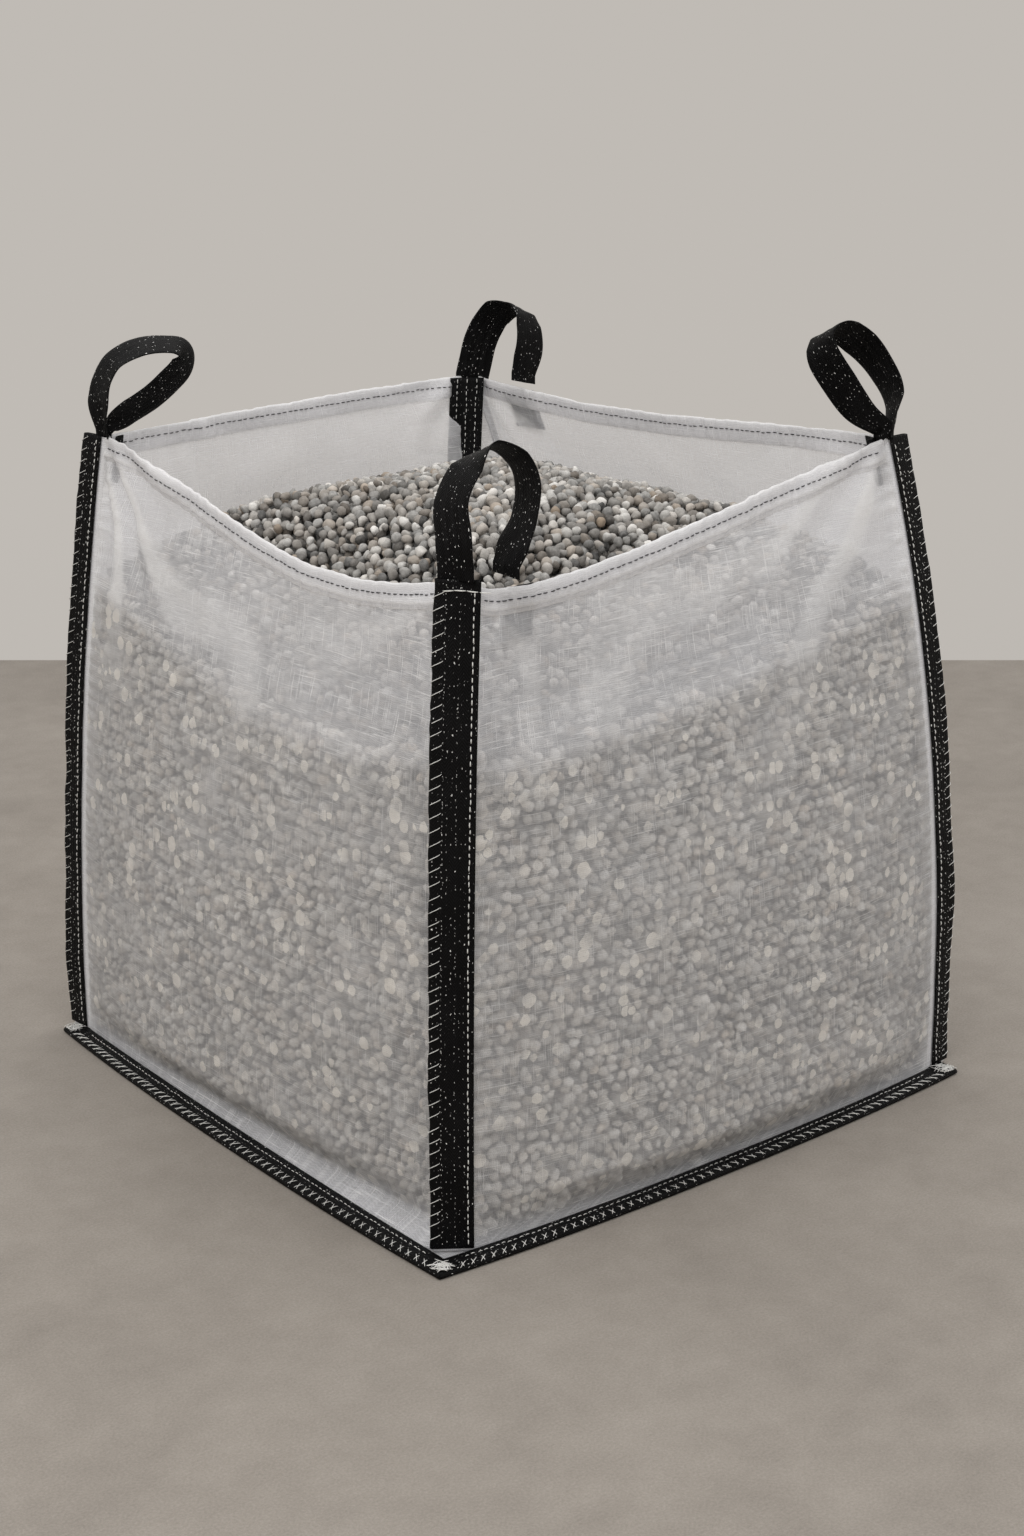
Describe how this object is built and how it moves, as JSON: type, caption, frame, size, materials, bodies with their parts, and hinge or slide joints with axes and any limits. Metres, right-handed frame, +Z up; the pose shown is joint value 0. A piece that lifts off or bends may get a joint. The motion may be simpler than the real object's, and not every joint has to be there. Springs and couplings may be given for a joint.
{
  "type": "bulk bag",
  "caption": "Open-top woven bulk bag with webbing-bound corner and base seams, a folded hem and corner lifting loops that fold, standing filled with gravel.",
  "frame": {"origin": "centre of the base, on the surface that the bag stands on", "axes": "+Z up, -Y the front, +X to the right when facing the front"},
  "size_m": [0.9302, 0.9366, 1.0437],
  "materials": {
    "woven_fabric": "translucent white open plain weave",
    "hem_fabric": "folded white woven fabric",
    "webbing": "black herringbone webbing",
    "light_thread": "white sewing thread",
    "dark_thread": "dark grey sewing thread",
    "gravel": "washed grey and buff pea gravel"
  },
  "bodies": {
    "sack": {"base_panel": "woven_fabric", "gravel_fill": "gravel", "side_panel_front": "woven_fabric", "mouth_hem_front": "hem_fabric", "base_binding_front": "webbing", "base_stitching_front": "light_thread", "hem_stitching_front": "dark_thread", "side_panel_right": "woven_fabric", "mouth_hem_right": "hem_fabric", "base_binding_right": "webbing", "base_stitching_right": "light_thread", "hem_stitching_right": "dark_thread", "side_panel_back": "woven_fabric", "mouth_hem_back": "hem_fabric", "base_binding_back": "webbing", "base_stitching_back": "light_thread", "hem_stitching_back": "dark_thread", "side_panel_left": "woven_fabric", "mouth_hem_left": "hem_fabric", "base_binding_left": "webbing", "base_stitching_left": "light_thread", "hem_stitching_left": "dark_thread", "corner_binding_front_left": "webbing", "corner_stitching_front_left": "light_thread", "corner_overlock_front_left": "light_thread", "corner_tack_front_left": "light_thread", "loop_tail_front_left": "webbing", "corner_binding_front_right": "webbing", "corner_stitching_front_right": "light_thread", "corner_overlock_front_right": "light_thread", "corner_tack_front_right": "light_thread", "loop_tail_front_right": "webbing", "corner_binding_back_right": "webbing", "corner_stitching_back_right": "light_thread", "corner_overlock_back_right": "light_thread", "corner_tack_back_right": "light_thread", "loop_tail_back_right": "webbing", "corner_binding_back_left": "webbing", "corner_stitching_back_left": "light_thread", "corner_overlock_back_left": "light_thread", "corner_tack_back_left": "light_thread", "loop_tail_back_left": "webbing", "loop_tail_outer_back_right": "webbing"},
    "loop_front_left": {"lifting_loop_front_left": "webbing"},
    "loop_front_right": {"lifting_loop_front_right": "webbing"},
    "loop_back_right": {"lifting_loop_back_right": "webbing"},
    "loop_back_left": {"lifting_loop_back_left": "webbing"}
  },
  "joints": [
    {"name": "loop_fold_front_left", "type": "hinge", "parent": "sack", "child": "loop_front_left", "pos_m": [-0.33103, -0.3831, 0.824], "axis": [-0.9799, 0.1994, 0], "range_deg": [-70, 60], "stiffness_Nm_per_rad": 0.4},
    {"name": "loop_fold_front_right", "type": "hinge", "parent": "sack", "child": "loop_front_right", "pos_m": [0.35442, -0.34243, 0.894], "axis": [-0.7071, -0.7071, 0], "range_deg": [-50, 45], "stiffness_Nm_per_rad": 0.4},
    {"name": "loop_fold_back_right", "type": "hinge", "parent": "sack", "child": "loop_back_right", "pos_m": [0.28126, 0.37724, 0.887], "axis": [0.1513, -0.9885, 0], "range_deg": [-60, 50], "stiffness_Nm_per_rad": 0.4},
    {"name": "loop_fold_back_left", "type": "hinge", "parent": "sack", "child": "loop_back_left", "pos_m": [-0.37151, 0.37151, 0.877], "axis": [0.7071, 0.7071, 0], "range_deg": [-70, 35], "stiffness_Nm_per_rad": 0.4}
  ]
}
